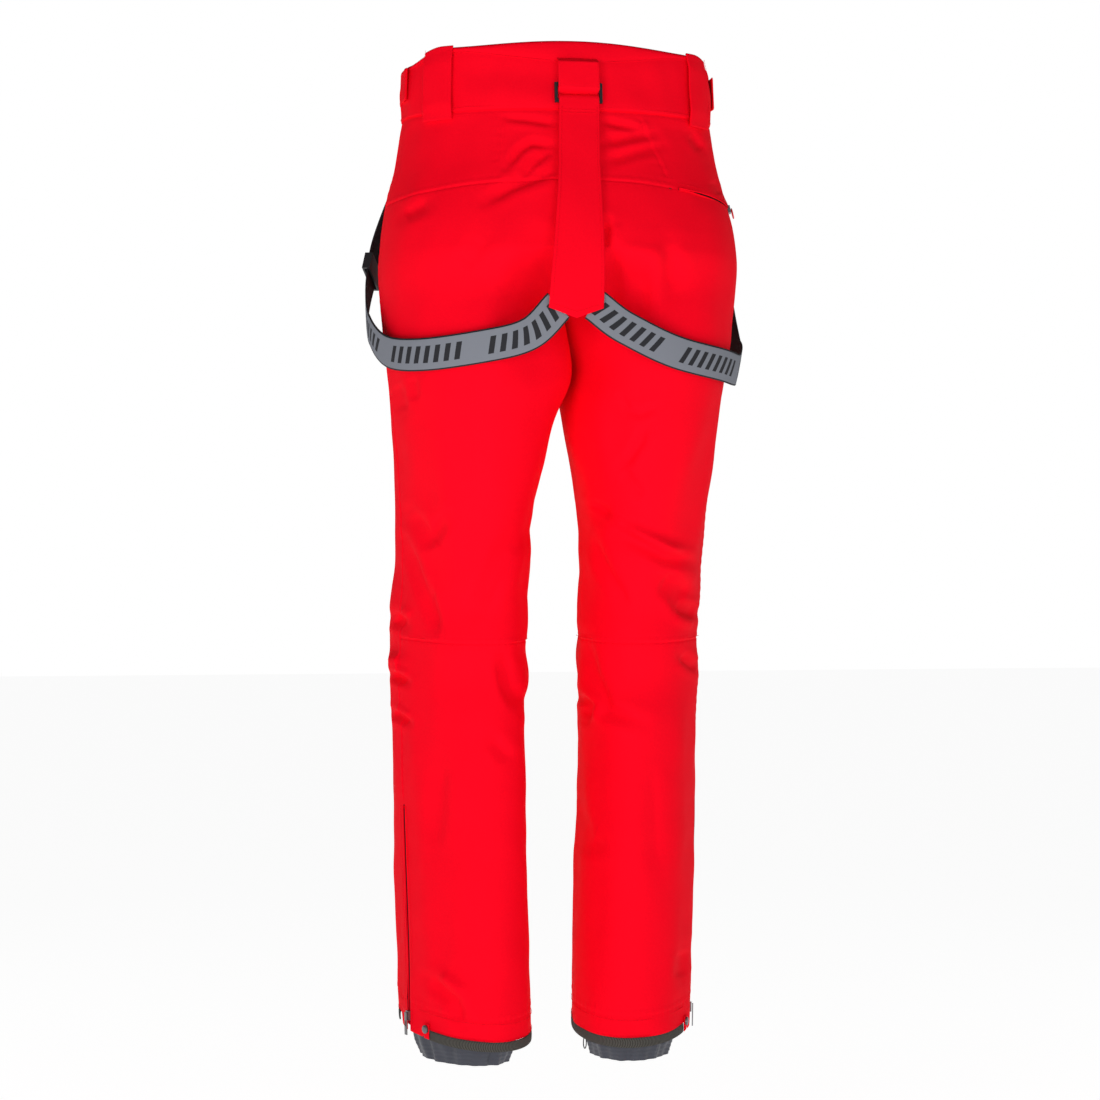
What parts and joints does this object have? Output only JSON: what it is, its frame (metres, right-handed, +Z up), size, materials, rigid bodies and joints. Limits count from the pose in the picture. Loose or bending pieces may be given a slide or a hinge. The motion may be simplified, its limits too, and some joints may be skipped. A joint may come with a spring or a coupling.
{
  "type": "ski pants",
  "caption": "High-waisted insulated ski pants with webbing braces, a tie-shaped back tab, a zipped rear pocket, zipped hems and gathered inner gaiters.",
  "frame": {"origin": "centre of the waist opening, level with the waistband's top edge", "axes": "+Z up, +Y the way the wearer faces, +X the wearer's right"},
  "size_m": [0.4099, 0.3096, 1.072],
  "materials": {
    "red_shell": "smooth softshell, faint sheen",
    "inner_fabric": "brushed lining",
    "gaiter_fabric": "gathered, matt",
    "webbing": "woven webbing with dark edges",
    "tape": "ribbed tape",
    "black_plastic": "moulded, satin",
    "dark_metal": "gunmetal"
  },
  "bodies": {
    "trousers": {"waistband_back": "red_shell", "waistband_front_right": "red_shell", "belt_loop_right": "red_shell", "back_yoke_right": "red_shell", "seat_panel_right": "red_shell", "front_panel_right": "red_shell", "lining_right": "inner_fabric", "knee_right": "red_shell", "hand_zip_right": "tape", "brace_right": "webbing", "waistband_front_left": "red_shell", "belt_loop_left": "red_shell", "back_yoke_left": "red_shell", "seat_panel_left": "red_shell", "front_panel_left": "red_shell", "lining_left": "inner_fabric", "knee_left": "red_shell", "hand_zip_left": "tape", "brace_left": "webbing", "rear_zip": "tape", "rear_pocket_bag": "inner_fabric", "fly_zip": "tape", "flap_stud": "dark_metal", "hanger_loop": "red_shell"},
    "shin_right": {"lower_back_right": "red_shell", "lower_front_right": "red_shell", "hem_tape_right": "tape", "hem_zip_right": "tape", "gaiter_right": "gaiter_fabric"},
    "hem_slider_right": {"hem_slider_right": "dark_metal"},
    "hem_puller_right": {"hem_puller_right": "black_plastic"},
    "snap_tab_right": {"snap_tab_right": "tape", "snap_cap_right": "dark_metal"},
    "hand_slider_right": {"hand_slider_right": "dark_metal"},
    "hand_puller_right": {"hand_puller_right": "red_shell"},
    "waist_tab_right": {"waist_tab_right": "red_shell"},
    "brace_adjuster_right": {"brace_adjuster_right": "black_plastic"},
    "brace_clip_right": {"brace_clip_right": "black_plastic"},
    "shin_left": {"lower_back_left": "red_shell", "lower_front_left": "red_shell", "hem_tape_left": "tape", "hem_zip_left": "tape", "gaiter_left": "gaiter_fabric"},
    "hem_slider_left": {"hem_slider_left": "dark_metal"},
    "hem_puller_left": {"hem_puller_left": "black_plastic"},
    "snap_tab_left": {"snap_tab_left": "tape", "snap_cap_left": "dark_metal"},
    "hand_slider_left": {"hand_slider_left": "dark_metal"},
    "hand_puller_left": {"hand_puller_left": "red_shell"},
    "waist_tab_left": {"waist_tab_left": "red_shell"},
    "brace_adjuster_left": {"brace_adjuster_left": "black_plastic"},
    "brace_clip_left": {"brace_clip_left": "black_plastic"},
    "rear_slider": {"rear_slider": "dark_metal"},
    "rear_puller": {"rear_puller": "red_shell"},
    "fly_slider": {"fly_slider": "dark_metal"},
    "fly_puller": {"fly_puller": "red_shell"},
    "waist_flap": {"waist_flap": "red_shell", "flap_cap": "dark_metal"},
    "back_tab": {"back_ring": "black_plastic", "back_tab": "red_shell"}
  },
  "joints": [
    {"name": "knee_bend_right", "type": "hinge", "parent": "trousers", "child": "shin_right", "pos_m": [0.099, 0.052, -0.6], "axis": [-1, 0, 0], "range_deg": [0, 60], "deforming": ["knee_right"]},
    {"name": "hem_zip_open_right", "type": "slide", "parent": "shin_right", "child": "hem_slider_right", "axis": [0.029, 0.0004, 0.9996], "range_m": [0, 0.205]},
    {"name": "hem_puller_swing_right", "type": "hinge", "parent": "hem_slider_right", "child": "hem_puller_right", "pos_m": [0.1579, 0.0304, -1.0216], "axis": [-0.2402, -0.9707, 0.0037], "range_deg": [0, 120]},
    {"name": "snap_tab_open_right", "type": "hinge", "parent": "shin_right", "child": "snap_tab_right", "pos_m": [0.1406, -0.0054, -1.0485], "axis": [0.4671, 0.8842, -0.0056], "range_deg": [0, 150]},
    {"name": "hand_zip_open_right", "type": "slide", "parent": "trousers", "child": "hand_slider_right", "axis": [0.1106, 0.1082, -0.988], "range_m": [0, 0.075]},
    {"name": "hand_puller_swing_right", "type": "hinge", "parent": "hand_slider_right", "child": "hand_puller_right", "pos_m": [0.1553, 0.0777, -0.1488], "axis": [0.7214, -0.685, 0.102], "range_deg": [0, 120]},
    {"name": "waist_tab_peel_right", "type": "hinge", "parent": "trousers", "child": "waist_tab_right", "pos_m": [0.1597, 0.0319, -0.0369], "axis": [-0.0388, -0.0256, 0.9989], "range_deg": [0, 100]},
    {"name": "knee_bend_left", "type": "hinge", "parent": "trousers", "child": "shin_left", "pos_m": [-0.099, 0.052, -0.6], "axis": [-1, 0, 0], "range_deg": [0, 60], "deforming": ["knee_left"]},
    {"name": "hem_zip_open_left", "type": "slide", "parent": "shin_left", "child": "hem_slider_left", "axis": [-0.029, 0.0004, 0.9996], "range_m": [0, 0.205]},
    {"name": "hem_puller_swing_left", "type": "hinge", "parent": "hem_slider_left", "child": "hem_puller_left", "pos_m": [-0.1579, 0.0304, -1.0216], "axis": [-0.2402, 0.9707, -0.0037], "range_deg": [0, 120]},
    {"name": "snap_tab_open_left", "type": "hinge", "parent": "shin_left", "child": "snap_tab_left", "pos_m": [-0.1406, -0.0054, -1.0485], "axis": [0.4671, -0.8842, 0.0056], "range_deg": [0, 150]},
    {"name": "hand_zip_open_left", "type": "slide", "parent": "trousers", "child": "hand_slider_left", "axis": [-0.1106, 0.1082, -0.988], "range_m": [0, 0.075]},
    {"name": "hand_puller_swing_left", "type": "hinge", "parent": "hand_slider_left", "child": "hand_puller_left", "pos_m": [-0.1553, 0.0777, -0.1488], "axis": [0.7214, 0.685, -0.102], "range_deg": [0, 120]},
    {"name": "waist_tab_peel_left", "type": "hinge", "parent": "trousers", "child": "waist_tab_left", "pos_m": [-0.1597, 0.0319, -0.0369], "axis": [-0.0388, 0.0256, -0.9989], "range_deg": [0, 100]},
    {"name": "brace_adjuster_slide_right", "type": "slide", "parent": "trousers", "child": "brace_adjuster_right", "axis": [-0.158, 0.2455, 0.9564], "range_m": [-0.012, 0.012]},
    {"name": "brace_adjuster_slide_left", "type": "slide", "parent": "trousers", "child": "brace_adjuster_left", "axis": [0.2402, 0.4645, 0.8524], "range_m": [-0.012, 0.012]},
    {"name": "brace_clip_swing_right", "type": "hinge", "parent": "trousers", "child": "brace_clip_right", "pos_m": [0.1245, 0.0755, -0.0257], "axis": [0.8387, -0.5445, -0.0074], "range_deg": [0, 50]},
    {"name": "brace_clip_swing_left", "type": "hinge", "parent": "trousers", "child": "brace_clip_left", "pos_m": [-0.1245, 0.0755, -0.0257], "axis": [0.8387, 0.5445, 0.0074], "range_deg": [0, 50]},
    {"name": "rear_zip_open", "type": "hinge", "parent": "trousers", "child": "rear_slider", "pos_m": [0.0674, -0.008, -0.1514], "axis": [-0.1075, -0.0414, -0.9933], "range_deg": [0, 53]},
    {"name": "rear_puller_swing", "type": "hinge", "parent": "rear_slider", "child": "rear_puller", "pos_m": [0.1843, -0.0353, -0.1607], "axis": [-0.2191, -0.9714, 0.0915], "range_deg": [0, 120]},
    {"name": "fly_zip_open", "type": "slide", "parent": "trousers", "child": "fly_slider", "axis": [0, 0.118, -0.993], "range_m": [0, 0.105]},
    {"name": "fly_puller_swing", "type": "hinge", "parent": "fly_slider", "child": "fly_puller", "pos_m": [0, 0.1102, -0.0814], "axis": [1, 0, 0], "range_deg": [0, 120]},
    {"name": "waist_flap_open", "type": "hinge", "parent": "trousers", "child": "waist_flap", "pos_m": [0.0199, 0.1022, -0.036], "axis": [0, 0, -1], "range_deg": [0, 50]},
    {"name": "back_tab_swing", "type": "hinge", "parent": "trousers", "child": "back_tab", "pos_m": [0, -0.1186, -0.0464], "axis": [-1, 0, 0], "range_deg": [0, 45], "deforming": ["brace_right", "brace_left"]}
  ]
}
